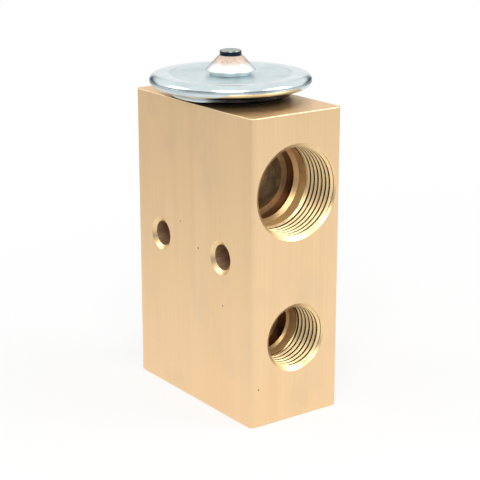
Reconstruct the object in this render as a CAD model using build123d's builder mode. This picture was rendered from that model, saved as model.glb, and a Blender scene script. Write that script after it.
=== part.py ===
from build123d import *
import os
from math import sqrt

# Block-type thermostatic expansion valve, in millimetres.
# The origin is the bottom centre of the block. +Z runs up the stem, -Y is the face with the
# liquid inlet and suction outlet, and the cross holes run along X.

os.makedirs("parts", exist_ok=True)

# ---- Block: a length of drawn bar -------------------------------------------------------
block_width = 26.0
block_depth = 48.4
block_height = 74.0
bar_corner = 1.4
edge_break = 0.2

# ---- Stem line: every turned piece stands on it ------------------------------------------
stem_y = 2.0

# ---- Ports: 18 threads to the inch, with a pilot bore and a seal bore behind the thread ---
thread_pitch = 25.4 / 18
mouth_chamfer = 0.38
pilot_step = 0.15

suction_height = 55.5
suction_thread_d = 22.225
suction_thread_depth = 9.5
suction_pilot_depth = 12.4
suction_seal_d = 18.6
suction_seal_depth = 16.0
suction_bore_d = 15.4

liquid_height = 20.25
liquid_thread_d = 15.875
liquid_thread_depth = 8.6
liquid_pilot_depth = 11.5
liquid_seal_d = 12.9
liquid_seal_depth = 15.2
liquid_bore_d = 9.2
liquid_bore_past_wall = 1.0

outlet_height = 25.4
outlet_thread_d = 19.05
outlet_thread_depth = 9.0
outlet_pilot_depth = 12.0
outlet_seal_d = 15.8
outlet_seal_depth = 15.6
outlet_bore_d = 6.4
outlet_bore_rise = 4.2

# ---- Cross holes for the two mounting bolts ----------------------------------------------
bolt_hole_d = 6.2
bolt_sink_d = 8.26
bolt_sink_angle = 110
bolt_spacing = 25.4
bolt_height = 39.1
bolt_centre_y = 0.8

# ---- Bores on the stem line --------------------------------------------------------------
socket_depth = 8.0
equaliser_d = 13.0
gland_d = 6.4
gland_depth = 5.0
outlet_chamber_d = 6.0
outlet_chamber_headroom = 0.4
orifice_d = 3.8
orifice_height = 24.6
orifice_length = 2.4
seat_cone_depth = 1.0
chamber_d = 10.8
chamber_floor = 10.6

# ---- Clearances --------------------------------------------------------------------------
running_clearance = 0.05
seat_clearance = 0.05
joint_gap = 0.02
stop_gap = 0.05

# ---- Power element -----------------------------------------------------------------------
gasket_thickness = 0.6
gasket_neck_gap = 0.3
gasket_band = 1.9
cup_sheet = 0.9
cup_d = 29.4
cup_corner = 0.6
cup_wall_top = 1.0
flange_d = 38.8
flange_under_d = 35.2
flange_drop = 1.6
flange_lip = 0.3
flange_inner_d = 31.2
flange_rise = 3.4
cavity_d = 27.6
diaphragm_sheet = 0.15
diaphragm_margin = 0.2
diaphragm_centre_d = 10.4
wave_count = 3
wave_pitch = 3.0
wave_height = 0.1
cover_sheet = 0.8
cover_chamber = 0.15
cover_lip = 0.2
dish_d = 27.2
crown_inner_d = 30.8
crown_outer_d = 35.2
crown_rise = 0.35
neck_d = 20.0
neck_length = 7.4
neck_bore_d = 14.8
neck_spigot_d = 18.4
neck_chamfer = 0.8

boss_foot_d = 9.4
boss_d = 12.0
boss_undercut = 1.2
boss_top_d = 5.6
boss_height = 4.65
boss_land = 0.12
charge_hole_d = 2.4
plug_d = 5.2
plug_height = 1.25
plug_stem_length = 2.0
plug_round = 0.35
plug_dimple = 0.15

# ---- Stem --------------------------------------------------------------------------------
valve_travel = 0.8
follower_d = 25.2
follower_pad_d = 9.6
follower_pad_height = 0.15
hub_d = 9.2
hub_length = 3.8
hub_socket_depth = 3.0
sleeve_d = 6.8
sleeve_foot_gap = 2.2
sleeve_bore_depth = 20.2
rod_d = 2.4
rod_seal_section = 1.74
retainer_thickness = 1.2
retainer_bore_d = 2.8
retainer_notch_d = 1.2
retainer_notches = 6

# ---- Ball, carrier and spring ------------------------------------------------------------
ball_d = 5.5
carrier_d = 7.8
carrier_cup_height = 2.0
carrier_flange_d = 9.4
carrier_flange = 1.2
carrier_under_ball = 4.36
spigot_d = 6.2
carrier_spigot = 2.3
spring_wire = 1.1
spring_mean_d = 8.0
spring_pitch = 1.6
spring_end_gap = 0.05
damper_band = 0.3
damper_leaf = 0.25
damper_leaf_width = 1.8
damper_leaf_height = 2.3
damper_leaves = 4

# ---- Adjusting screw ---------------------------------------------------------------------
screw_thread_d = 12.0
screw_travel = 1.0
screw_recess = 1.2
screw_head_d = 12.9
screw_head = 3.0
screw_thread_length = 5.0
screw_groove = 1.6
screw_groove_d = 9.9
screw_groove_lift = 0.7
screw_edge = 0.3
hex_flats = 5.0
hex_depth = 5.0
adjuster_seal_section = 1.5
seal_bore_chamfer = 0.6
spring_seat_d = 9.8
spring_seat_disc = 1.2
spring_seat_spigot = 2.0

# ---- Worked-out places -------------------------------------------------------------------
thread_form = 0.5413 * thread_pitch
passage_floor = suction_height - suction_bore_d / 2
gland_floor = passage_floor - gland_depth
outlet_bore_height = outlet_height + outlet_bore_rise
outlet_chamber_floor = orifice_height + orifice_length
outlet_chamber_roof = outlet_bore_height + outlet_bore_d / 2 + outlet_chamber_headroom

cup_floor = block_height + gasket_thickness
cup_inside = cup_floor + cup_sheet
flange_face = cup_floor + flange_rise
seam_face = flange_face + diaphragm_sheet
dish_under = seam_face + cover_chamber
dish_top = dish_under + cover_sheet
crown_top = dish_top + crown_rise
boss_top = dish_top + boss_height

follower_under = cup_inside + valve_travel + stop_gap
follower_top = flange_face - follower_pad_height
hub_end = follower_under - hub_length
sleeve_top = hub_end + hub_socket_depth
sleeve_foot = passage_floor + sleeve_foot_gap

ball_height = orifice_height + (orifice_d - ball_d * sqrt(2)) / 2 - seat_clearance
ball_top = ball_height + ball_d / 2
carrier_under = ball_height - carrier_under_ball
carrier_step = carrier_under + carrier_flange
carrier_top = carrier_step + carrier_cup_height

screw_head_top = screw_recess + screw_head
screw_top = screw_head_top + screw_thread_length
seat_top = screw_top + spring_seat_disc
thread_bore_floor = screw_head_top + screw_travel + stop_gap
screw_bore_d = screw_head_d + 2 * running_clearance

stem_axis = Axis((0, stem_y, 0), (0, 0, 1))
stem_section = Plane(origin=(0, stem_y, 0), x_dir=(1, 0, 0), z_dir=(0, -1, 0))


def stem_plane(height):
    """A level plane centred on the stem line."""
    return Plane(origin=(0, stem_y, height))


def turn(*corners, mode=Mode.ADD):
    """Turns a closed outline of (radius, height) corners about the stem line."""
    with BuildSketch(stem_section) as outline:
        with BuildLine():
            Polyline(*corners, close=True)
        make_face()
    revolve(outline.sketch, axis=stem_axis, mode=mode)


def cut_port(face_y, height, thread_d, thread_depth, pilot_depth, seal_d, seal_depth):
    """Cuts one stepped port into the block, from the face at face_y towards the middle."""
    inward = -1 if face_y > 0 else 1
    thread_r = thread_d / 2
    pilot_r = thread_r - thread_form - pilot_step
    seal_r = seal_d / 2
    with BuildSketch(Plane(origin=(0, face_y, height), x_dir=(1, 0, 0), z_dir=(0, 0, inward))) as steps:
        with BuildLine():
            Polyline(
                (0, 0),
                (thread_r + mouth_chamfer, 0),
                (thread_r, mouth_chamfer),
                (thread_r, thread_depth),
                (pilot_r, thread_depth + thread_r - pilot_r),
                (pilot_r, pilot_depth),
                (seal_r, pilot_depth + pilot_r - seal_r),
                (seal_r, seal_depth),
                (0, seal_depth),
                close=True,
            )
        make_face()
    revolve(steps.sketch, axis=Axis((0, face_y, height), (0, 1, 0)), mode=Mode.SUBTRACT)


def drill(start_y, height, bore_d, end_y):
    """Drills a level bore along Y into the block, from start_y to end_y."""
    inward = 1 if end_y > start_y else -1
    with BuildSketch(Plane(origin=(0, start_y, height), x_dir=(1, 0, 0), z_dir=(0, inward, 0))) as circle:
        Circle(bore_d / 2)
    extrude(circle.sketch, amount=abs(end_y - start_y), mode=Mode.SUBTRACT)


# ---- Valve block -------------------------------------------------------------------------
with BuildPart() as valve_block:
    with BuildSketch():
        RectangleRounded(block_width, block_depth, bar_corner)
    extrude(amount=block_height)
    chamfer(faces().filter_by(Axis.Z).edges(), edge_break)

    # suction line: one passage straight through, with a port at each end
    for face_y in (-block_depth / 2, block_depth / 2):
        cut_port(face_y, suction_height, suction_thread_d, suction_thread_depth,
                 suction_pilot_depth, suction_seal_d, suction_seal_depth)
    drill(-block_depth / 2, suction_height, suction_bore_d, block_depth / 2)

    # liquid inlet, whose inner bore breaks into the ball chamber
    cut_port(-block_depth / 2, liquid_height, liquid_thread_d, liquid_thread_depth,
             liquid_pilot_depth, liquid_seal_d, liquid_seal_depth)
    drill(-block_depth / 2, liquid_height, liquid_bore_d, stem_y - chamber_d / 2 + liquid_bore_past_wall)

    # outlet to the evaporator, whose inner bore is drilled above centre, into the outlet chamber
    cut_port(block_depth / 2, outlet_height, outlet_thread_d, outlet_thread_depth,
             outlet_pilot_depth, outlet_seal_d, outlet_seal_depth)
    drill(block_depth / 2 - outlet_seal_depth, outlet_bore_height, outlet_bore_d, stem_y)

    # socket for the power element, open to the suction passage
    turn((0, block_height), (neck_d / 2 + running_clearance, block_height),
         (neck_d / 2 + running_clearance, block_height - socket_depth),
         (equaliser_d / 2, block_height - socket_depth),
         (equaliser_d / 2, suction_height), (0, suction_height), mode=Mode.SUBTRACT)

    # rod gland, rod guide, outlet chamber, orifice, ball chamber, screw thread and seal bore
    turn((0, suction_height), (gland_d / 2, suction_height), (gland_d / 2, gland_floor),
         (rod_d / 2 + running_clearance, gland_floor),
         (rod_d / 2 + running_clearance, outlet_chamber_roof),
         (outlet_chamber_d / 2, outlet_chamber_roof), (outlet_chamber_d / 2, outlet_chamber_floor),
         (orifice_d / 2, outlet_chamber_floor), (orifice_d / 2, orifice_height),
         (orifice_d / 2 + seat_cone_depth, orifice_height - seat_cone_depth),
         (chamber_d / 2, orifice_height - seat_cone_depth), (chamber_d / 2, chamber_floor),
         (screw_thread_d / 2, chamber_floor), (screw_thread_d / 2, thread_bore_floor),
         (screw_bore_d / 2, thread_bore_floor), (screw_bore_d / 2, seal_bore_chamfer),
         (screw_bore_d / 2 + seal_bore_chamfer, 0), (0, 0), mode=Mode.SUBTRACT)

    # cross holes, countersunk at both faces
    for side in (-1, 1):
        side_face = Plane(origin=(side * block_width / 2, bolt_centre_y, bolt_height),
                          x_dir=(0, 1, 0), z_dir=(side, 0, 0))
        with Locations(side_face):
            with GridLocations(bolt_spacing, 1, 2, 1):
                CounterSinkHole(bolt_hole_d / 2, bolt_sink_d / 2, counter_sink_angle=bolt_sink_angle)
valve_block.part.label = "valve_block"
export_step(valve_block.part, "parts/valve_block.step")

# ---- Power element, from the block upwards ------------------------------------------------
with BuildPart() as head_gasket:
    gasket_bore_r = neck_d / 2 + gasket_neck_gap
    with BuildSketch(stem_plane(block_height)):
        Circle(gasket_bore_r + gasket_band)
        Circle(gasket_bore_r, mode=Mode.SUBTRACT)
    extrude(amount=gasket_thickness)
head_gasket.part.label = "head_gasket"
export_step(head_gasket.part, "parts/head_gasket.step")

with BuildPart() as element_neck:
    neck_r = neck_d / 2
    turn((neck_bore_d / 2, cup_floor - neck_length),
         (neck_r - neck_chamfer, cup_floor - neck_length),
         (neck_r, cup_floor - neck_length + neck_chamfer), (neck_r, cup_floor),
         (neck_spigot_d / 2, cup_floor), (neck_spigot_d / 2, cup_inside),
         (neck_bore_d / 2, cup_inside))
element_neck.part.label = "element_neck"
export_step(element_neck.part, "parts/element_neck.step")

# pressed cup: flat floor, short wall, sloping shoulder and a wide flange with a rounded rim
with BuildPart() as lower_cover:
    cup_r = cup_d / 2
    flange_under = flange_face - flange_drop
    with BuildSketch(stem_section):
        with BuildLine():
            floor_line = Line((neck_spigot_d / 2 + joint_gap, cup_floor), (cup_r - cup_corner, cup_floor))
            corner = TangentArc(floor_line @ 1, (cup_r, cup_floor + cup_corner), tangent=(1, 0))
            wall = Line(corner @ 1, (cup_r, cup_floor + cup_wall_top))
            shoulder = Line(wall @ 1, (cup_r + flange_under - cup_floor - cup_wall_top, flange_under))
            under = Line(shoulder @ 1, (flange_under_d / 2, flange_under))
            rim = TangentArc(under @ 1, (flange_d / 2, flange_face - flange_lip), tangent=(1, 0))
            lip = Line(rim @ 1, (flange_d / 2, flange_face))
            face_line = Line(lip @ 1, (flange_inner_d / 2, flange_face))
            slope = Line(face_line @ 1, (cavity_d / 2, flange_face - (flange_inner_d - cavity_d) / 2))
            inner_wall = Line(slope @ 1, (cavity_d / 2, cup_inside))
            inner_floor = Line(inner_wall @ 1, (neck_spigot_d / 2 + joint_gap, cup_inside))
            Line(inner_floor @ 1, floor_line @ 0)
        make_face()
    revolve(axis=stem_axis)
lower_cover.part.label = "lower_cover"
export_step(lower_cover.part, "parts/lower_cover.step")

# thin disc with concentric waves, flat where it is clamped and where the follower bears
with BuildPart() as diaphragm:
    diaphragm_r = flange_d / 2 - diaphragm_margin
    with BuildSketch(stem_section):
        with BuildLine():
            for level in (flange_face, seam_face):
                Line((0, level), (diaphragm_centre_d / 2, level))
                for half_wave in range(2 * wave_count):
                    start = diaphragm_centre_d / 2 + half_wave * wave_pitch / 2
                    rise = wave_height if half_wave % 2 else -wave_height
                    SagittaArc((start, level), (start + wave_pitch / 2, level), rise)
                Line((diaphragm_centre_d / 2 + wave_count * wave_pitch, level), (diaphragm_r, level))
            Line((0, flange_face), (0, seam_face))
            Line((diaphragm_r, flange_face), (diaphragm_r, seam_face))
        make_face()
    revolve(axis=stem_axis)
diaphragm.part.label = "diaphragm"
export_step(diaphragm.part, "parts/diaphragm.step")

# pressed cover: shallow dish in the middle, raised crown round it, rounded rim
with BuildPart() as upper_cover:
    crown_under = crown_top - cover_sheet
    with BuildSketch(stem_section):
        with BuildLine():
            dish = Line((charge_hole_d / 2, dish_top), (dish_d / 2, dish_top))
            rise = Spline(dish @ 1, (crown_inner_d / 2, crown_top), tangents=[(1, 0), (1, 0)])
            crown = Line(rise @ 1, (crown_outer_d / 2, crown_top))
            rim = TangentArc(crown @ 1, (flange_d / 2, seam_face + cover_lip), tangent=(1, 0))
            lip = Line(rim @ 1, (flange_d / 2, seam_face))
            seam = Line(lip @ 1, (flange_inner_d / 2 + cover_sheet, seam_face))
            inner = Line(seam @ 1, (crown_inner_d / 2 + cover_sheet / 2, crown_under))
            flat = Line(inner @ 1, (crown_inner_d / 2, crown_under))
            fall = Spline(flat @ 1, (dish_d / 2, dish_under), tangents=[(-1, 0), (-1, 0)])
            under = Line(fall @ 1, (charge_hole_d / 2, dish_under))
            Line(under @ 1, dish @ 0)
        make_face()
    revolve(axis=stem_axis)
upper_cover.part.label = "upper_cover"
export_step(upper_cover.part, "parts/upper_cover.step")

# turned double cone round the charge hole
with BuildPart() as charge_boss:
    turn((charge_hole_d / 2, dish_top), (boss_foot_d / 2, dish_top),
         (boss_d / 2, dish_top + boss_undercut), (boss_d / 2, dish_top + boss_undercut + boss_land),
         (boss_top_d / 2, boss_top), (charge_hole_d / 2, boss_top))
charge_boss.part.label = "charge_boss"
export_step(charge_boss.part, "parts/charge_boss.step")

with BuildPart() as charge_plug:
    plug_r = plug_d / 2
    stem_r = charge_hole_d / 2 - joint_gap
    turn((0, boss_top - plug_stem_length), (stem_r, boss_top - plug_stem_length), (stem_r, boss_top),
         (plug_r, boss_top), (plug_r, boss_top + plug_height),
         (plug_r - 2 * plug_round, boss_top + plug_height), (0, boss_top + plug_height - plug_dimple))
    fillet(edges().filter_by(GeomType.CIRCLE).group_by(Axis.Z)[-1].sort_by(SortBy.RADIUS)[-1], plug_round)
charge_plug.part.label = "charge_plug"
export_step(charge_plug.part, "parts/charge_plug.step")

# ---- Stem: follower, sleeve and rod --------------------------------------------------------
with BuildPart() as follower_plate:
    socket_r = sleeve_d / 2 + joint_gap
    turn((0, sleeve_top), (socket_r, sleeve_top), (socket_r, hub_end), (hub_d / 2, hub_end),
         (hub_d / 2, follower_under), (follower_d / 2, follower_under), (follower_d / 2, follower_top),
         (follower_pad_d / 2, follower_top), (follower_pad_d / 2, flange_face), (0, flange_face))
follower_plate.part.label = "follower_plate"
export_step(follower_plate.part, "parts/follower_plate.step")

rod_top = sleeve_foot + sleeve_bore_depth
with BuildPart() as sensing_sleeve:
    bore_r = rod_d / 2 + joint_gap
    turn((bore_r, sleeve_foot), (sleeve_d / 2, sleeve_foot), (sleeve_d / 2, sleeve_top), (0, sleeve_top),
         (0, rod_top), (bore_r, rod_top))
sensing_sleeve.part.label = "sensing_sleeve"
export_step(sensing_sleeve.part, "parts/sensing_sleeve.step")

with BuildPart() as push_rod:
    with BuildSketch(stem_plane(ball_top + joint_gap)):
        Circle(rod_d / 2)
    extrude(amount=rod_top - ball_top - 2 * joint_gap)
push_rod.part.label = "push_rod"
export_step(push_rod.part, "parts/push_rod.step")

# O-ring round the rod, held down in the gland by a notched washer
with BuildPart() as rod_seal:
    seal_height = gland_floor + joint_gap + rod_seal_section / 2
    with BuildSketch(stem_section):
        with Locations(((rod_d + gland_d) / 4, seal_height)):
            Circle(rod_seal_section / 2)
    revolve(axis=stem_axis)
rod_seal.part.label = "rod_seal"
export_step(rod_seal.part, "parts/rod_seal.step")

with BuildPart() as seal_retainer:
    with BuildSketch(stem_plane(gland_floor + rod_seal_section + 2 * joint_gap)):
        Circle(gland_d / 2 - joint_gap)
        Circle(retainer_bore_d / 2, mode=Mode.SUBTRACT)
        with PolarLocations(gland_d / 2, retainer_notches):
            Circle(retainer_notch_d / 2, mode=Mode.SUBTRACT)
    extrude(amount=retainer_thickness)
seal_retainer.part.label = "seal_retainer"
export_step(seal_retainer.part, "parts/seal_retainer.step")

# ---- Ball, carrier, damper and spring ------------------------------------------------------
with BuildPart() as valve_ball:
    with Locations((0, stem_y, ball_height)):
        Sphere(ball_d / 2)
valve_ball.part.label = "valve_ball"
export_step(valve_ball.part, "parts/valve_ball.step")

with BuildPart() as ball_carrier:
    cone_tip = ball_height - ball_d / 2 * sqrt(2) - joint_gap
    cone_mouth = carrier_top - cone_tip
    turn((0, carrier_under - carrier_spigot), (spigot_d / 2, carrier_under - carrier_spigot),
         (spigot_d / 2, carrier_under), (carrier_flange_d / 2, carrier_under),
         (carrier_flange_d / 2, carrier_step), (carrier_d / 2, carrier_step),
         (carrier_d / 2, carrier_top), (cone_mouth, carrier_top), (0, cone_tip))
ball_carrier.part.label = "ball_carrier"
export_step(ball_carrier.part, "parts/ball_carrier.step")

# sprung band on the carrier's step, whose leaves lean out to rub the chamber wall
with BuildPart() as damper_ring:
    band_r = carrier_d / 2 + joint_gap
    leaf_reach = chamber_d / 2 - running_clearance
    with BuildSketch(stem_plane(carrier_step)):
        Circle(carrier_flange_d / 2)
        Circle(band_r, mode=Mode.SUBTRACT)
    extrude(amount=damper_band)
    for leaf in range(damper_leaves):
        turned = 360 / damper_leaves * (leaf + 0.5)
        with BuildSketch(Plane(origin=(0, stem_y, 0), x_dir=Vector(1, 0, 0).rotate(Axis.Z, turned),
                               z_dir=Vector(0, -1, 0).rotate(Axis.Z, turned))):
            with BuildLine():
                Polyline((carrier_flange_d / 2 - damper_leaf, carrier_step),
                         (carrier_flange_d / 2, carrier_step),
                         (leaf_reach - damper_leaf / 2, carrier_step + damper_leaf_height),
                         (leaf_reach - damper_leaf * 3 / 2, carrier_step + damper_leaf_height), close=True)
            make_face()
        extrude(amount=damper_leaf_width / 2, both=True)
damper_ring.part.label = "damper_ring"
export_step(damper_ring.part, "parts/damper_ring.step")

# open-wound helix between the spring seat and the carrier
with BuildPart() as main_spring:
    with BuildLine():
        coil = Helix(pitch=spring_pitch, height=carrier_under - seat_top - spring_wire - 2 * spring_end_gap,
                     radius=spring_mean_d / 2, center=(0, stem_y, seat_top + spring_wire / 2 + spring_end_gap))
    with BuildSketch(Plane(origin=coil @ 0, z_dir=coil % 0)):
        Circle(spring_wire / 2)
    sweep(is_frenet=True)
main_spring.part.label = "main_spring"
export_step(main_spring.part, "parts/main_spring.step")

# ---- Adjuster in the bottom face -----------------------------------------------------------
with BuildPart() as spring_seat:
    turn((0, screw_top), (spring_seat_d / 2, screw_top), (spring_seat_d / 2, seat_top),
         (spigot_d / 2, seat_top), (spigot_d / 2, seat_top + spring_seat_spigot),
         (0, seat_top + spring_seat_spigot))
spring_seat.part.label = "spring_seat"
export_step(spring_seat.part, "parts/spring_seat.step")

with BuildPart() as adjusting_screw:
    head_r = screw_head_d / 2
    groove_r = screw_groove_d / 2
    groove_low = screw_recess + screw_groove_lift
    screw_r = screw_thread_d / 2 - running_clearance
    turn((0, screw_recess), (head_r - screw_edge, screw_recess), (head_r, screw_recess + screw_edge),
         (head_r, groove_low), (groove_r, groove_low), (groove_r, groove_low + screw_groove),
         (head_r, groove_low + screw_groove), (head_r, screw_head_top), (screw_r, screw_head_top),
         (screw_r, screw_top - screw_edge), (screw_r - screw_edge, screw_top), (0, screw_top))
    with BuildSketch(stem_plane(screw_recess)):
        RegularPolygon(hex_flats / 2, 6, major_radius=False)
    extrude(amount=hex_depth, mode=Mode.SUBTRACT)
adjusting_screw.part.label = "adjusting_screw"
export_step(adjusting_screw.part, "parts/adjusting_screw.step")

with BuildPart() as adjuster_seal:
    with BuildSketch(stem_section):
        with Locations(((screw_groove_d + screw_bore_d) / 4, screw_recess + screw_groove_lift + screw_groove / 2)):
            Circle(adjuster_seal_section / 2)
    revolve(axis=stem_axis)
adjuster_seal.part.label = "adjuster_seal"
export_step(adjuster_seal.part, "parts/adjuster_seal.step")
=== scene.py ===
"""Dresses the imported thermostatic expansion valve: threaded block, polished head and working parts."""

import logging
import math
from collections.abc import Callable, Sequence
from dataclasses import dataclass, field
from enum import Enum
from typing import Protocol

import bmesh
import bpy
import numpy as np
from bmesh.types import BMesh, BMFace, BMVert
from bpy.types import Material, Node, NodeSocket, NodeTree, Object
from mathutils import Matrix, Vector


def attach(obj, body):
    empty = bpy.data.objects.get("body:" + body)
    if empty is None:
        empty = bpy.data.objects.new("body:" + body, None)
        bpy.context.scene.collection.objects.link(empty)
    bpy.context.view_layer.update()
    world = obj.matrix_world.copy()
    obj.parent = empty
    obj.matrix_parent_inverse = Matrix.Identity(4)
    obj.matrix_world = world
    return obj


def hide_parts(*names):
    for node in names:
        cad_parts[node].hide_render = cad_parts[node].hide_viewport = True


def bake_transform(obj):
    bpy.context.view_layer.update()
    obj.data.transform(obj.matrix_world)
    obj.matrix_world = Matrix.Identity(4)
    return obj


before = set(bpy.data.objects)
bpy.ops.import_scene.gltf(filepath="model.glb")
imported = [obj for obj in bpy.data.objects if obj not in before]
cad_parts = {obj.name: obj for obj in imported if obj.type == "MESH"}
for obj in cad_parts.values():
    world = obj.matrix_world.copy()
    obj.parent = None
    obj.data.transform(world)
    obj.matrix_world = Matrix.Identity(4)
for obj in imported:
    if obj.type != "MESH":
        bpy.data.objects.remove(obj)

log = logging.getLogger("expansion_valve")

MM = 0.001
STEM_Y = 2.0  # mm; the stem line stands upright here

Corner = tuple[float, float]
Point = tuple[float, float, float]
Colour = tuple[float, float, float]
Band = tuple[float, float]

TONE_BAND = (0.3, 0.7)  # the middle of a noise, over which a finish's two tones change places
WHITE = (1.0, 1.0, 1.0, 1.0)
BLACK = (0.0, 0.0, 0.0, 1.0)


class Way(Enum):
    """Directions that turned pieces and bores are laid out along."""

    UP = (0.0, 0.0, 1.0)
    BACK = (0.0, 1.0, 0.0)
    FORWARD = (0.0, -1.0, 0.0)
    ACROSS = (1.0, 0.0, 0.0)


class Body(Enum):
    """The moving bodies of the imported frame."""

    BLOCK = "block"
    STEM = "stem"
    SPRING_SEAT = "spring_seat"
    ADJUSTER = "adjuster"


# ---- Outlines and meshes -------------------------------------------------------------------

SAME = 1e-9  # mm; corners closer than this are one corner
WELD = 1e-7  # m; points of a thread that are closer than this are joined
ON_AXIS = 1e-6  # mm; a corner closer than this to the axis lies on it
LEAST_TURN_DEG = 20.0  # corners of an outline that turn by less stay as they are
EASED_SHARE = 0.4  # the most of an edge that one corner's rounding takes
SMOOTH_DEG = 30.0  # edges that are sharper than this stay crisp
CUT_SMOOTH_DEG = 28.0  # the same once a piece has been cut

def arc(
    centre: Corner, radius: float, start_deg: float, end_deg: float, steps: int = 6
) -> list[Corner]:
    """Corners along a circular arc of an outline.

    Args:
        centre: The arc's centre, in millimetres.
        radius: The arc's radius.
        start_deg: Angle of its first corner, anticlockwise from the first axis.
        end_deg: Angle of its last corner.
        steps: How many pieces the arc is divided into.

    Returns:
        The corners, first and last included.
    """
    sweep_deg = end_deg - start_deg
    angles = [math.radians(start_deg + sweep_deg * i / steps) for i in range(steps + 1)]
    return [(centre[0] + radius * math.cos(a), centre[1] + radius * math.sin(a)) for a in angles]


def rolled_rim(start: Corner, end: Corner, steps: int = 12) -> list[Corner]:
    """Corners of a rim that leaves start level and outwards and curls to end.

    Args:
        start: Where the level face ends.
        end: Where the curl ends.
        steps: How many pieces the curl is divided into.

    Returns:
        The corners, without start.
    """
    run, drop = end[0] - start[0], end[1] - start[1]
    radius = (run * run + drop * drop) / (2 * abs(drop))
    side = math.copysign(1, drop)
    sweep = math.asin(run / radius)
    turns = [sweep * (i + 1) / steps for i in range(steps)]
    across, along = start
    return [(across + radius * math.sin(t), along + side * radius * (1 - math.cos(t))) for t in turns]


def stairs(*turns: float) -> list[Corner]:
    """Corners of a square-stepped outline, given as radii and heights in turn, a radius first."""
    pairs = enumerate(zip(turns, turns[1:]))
    return [(here, after) if i % 2 == 0 else (after, here) for i, (here, after) in pairs]


def soft_step(start: Corner, end: Corner, steps: int = 12) -> list[Corner]:
    """Corners of a soft step between two levels, start and end included."""
    shares = [i / steps for i in range(steps + 1)]
    run, rise = end[0] - start[0], end[1] - start[1]
    return [(start[0] + run * t, start[1] + rise * t * t * (3 - 2 * t)) for t in shares]


def eased(outline: Sequence[Corner], radius: float) -> list[Corner]:
    """Rounds the sharp corners of a closed outline slightly, as deburring does.

    Args:
        outline: Closed outline of (radius, height) corners in millimetres.
        radius: Rounding radius asked for; short edges get less.

    Returns:
        The outline with its corners rounded.
    """
    made: list[Corner] = []
    count = len(outline)
    for i, here in enumerate(outline):
        at = np.array(here)
        before = np.array(outline[i - 1]) - at
        after = np.array(outline[(i + 1) % count]) - at
        near, far = np.linalg.norm(before), np.linalg.norm(after)
        if min(near, far) < SAME:
            continue
        before, after = before / near, after / far
        opening = math.acos(float(np.clip(before @ after, -1, 1)))
        if here[0] < ON_AXIS or math.pi - opening < math.radians(LEAST_TURN_DEG):
            made.append(here)
            continue
        reach = min(radius / math.tan(opening / 2), EASED_SHARE * near, EASED_SHARE * far)
        start, end = at + before * reach, at + after * reach
        for t in (0.0, 0.3, 0.7, 1.0):
            point = (1 - t) ** 2 * start + 2 * t * (1 - t) * at + t * t * end
            made.append((float(point[0]), float(point[1])))
    return made


def as_object(name: str, mesh: BMesh) -> Object:
    """Turns a finished working mesh into a linked object.

    Args:
        name: The piece's name.
        mesh: The working mesh, which is freed.

    Returns:
        The new object.
    """
    bmesh.ops.recalc_face_normals(mesh, faces=mesh.faces[:])
    data = bpy.data.meshes.new(name)
    mesh.to_mesh(data)
    mesh.free()
    data.shade_smooth()
    data.set_sharp_from_angle(angle=math.radians(SMOOTH_DEG))
    made = bpy.data.objects.new(name, data)
    bpy.context.scene.collection.objects.link(made)
    return made


@dataclass(frozen=True)
class Lathe:
    """Turns closed outlines about an axis.

    An outline's corners are (radius, distance along the axis), in millimetres.
    """

    centre: Point
    way: Way
    steps: int

    def axes(self) -> tuple[Vector, Vector, Vector]:
        """Returns two square radial directions and the axis, right-handed."""
        along = Vector(self.way.value)
        side = Vector((0, 0, 1)) if abs(along.z) < 0.5 else Vector((1, 0, 0))
        return side, along.cross(side), along

    def place(self, radius: float, distance: float, turn: float) -> Vector:
        """Returns the point at a radius, a distance along the axis and a turn, in metres."""
        side, up, along = self.axes()
        radial = side * math.cos(turn) + up * math.sin(turn)
        return (Vector(self.centre) + along * distance + radial * radius) * MM

    def turn(self, outline: Sequence[Corner], slots: Sequence[int] = ()) -> BMesh:
        """Revolves a closed outline into a watertight working mesh.

        Args:
            outline: Corners of the outline; those on the axis have radius 0.
            slots: The material slot of the face that starts at each corner, where they differ.

        Returns:
            The working mesh.
        """
        mesh = bmesh.new()
        rings = []
        for radius, distance in outline:
            if radius < ON_AXIS:
                rings.append([mesh.verts.new(self.place(0, distance, 0))] * self.steps)
            else:
                turns = [2 * math.pi * i / self.steps for i in range(self.steps)]
                rings.append([mesh.verts.new(self.place(radius, distance, t)) for t in turns])
        for ring, after, slot in zip(rings, rings[1:] + rings[:1], slots or [0] * len(rings)):
            for i in range(self.steps):
                k = (i + 1) % self.steps
                corners = list(dict.fromkeys((ring[i], ring[k], after[k], after[i])))
                if len(corners) > 2:
                    mesh.faces.new(corners).material_index = slot
        return mesh

    def piece(self, name: str, outline: Sequence[Corner], ease: float = 0.05) -> Object:
        """Turns an outline into a finished piece.

        Args:
            name: The piece's name.
            outline: Closed outline of the piece.
            ease: Rounding of its sharp corners, in millimetres.

        Returns:
            The new object.
        """
        return as_object(name, self.turn(eased(outline, ease) if ease else outline))


def stem_line(steps: int) -> Lathe:
    """Returns the lathe on the stem line, with that many steps round it."""
    return Lathe((0.0, STEM_Y, 0.0), Way.UP, steps)


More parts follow.
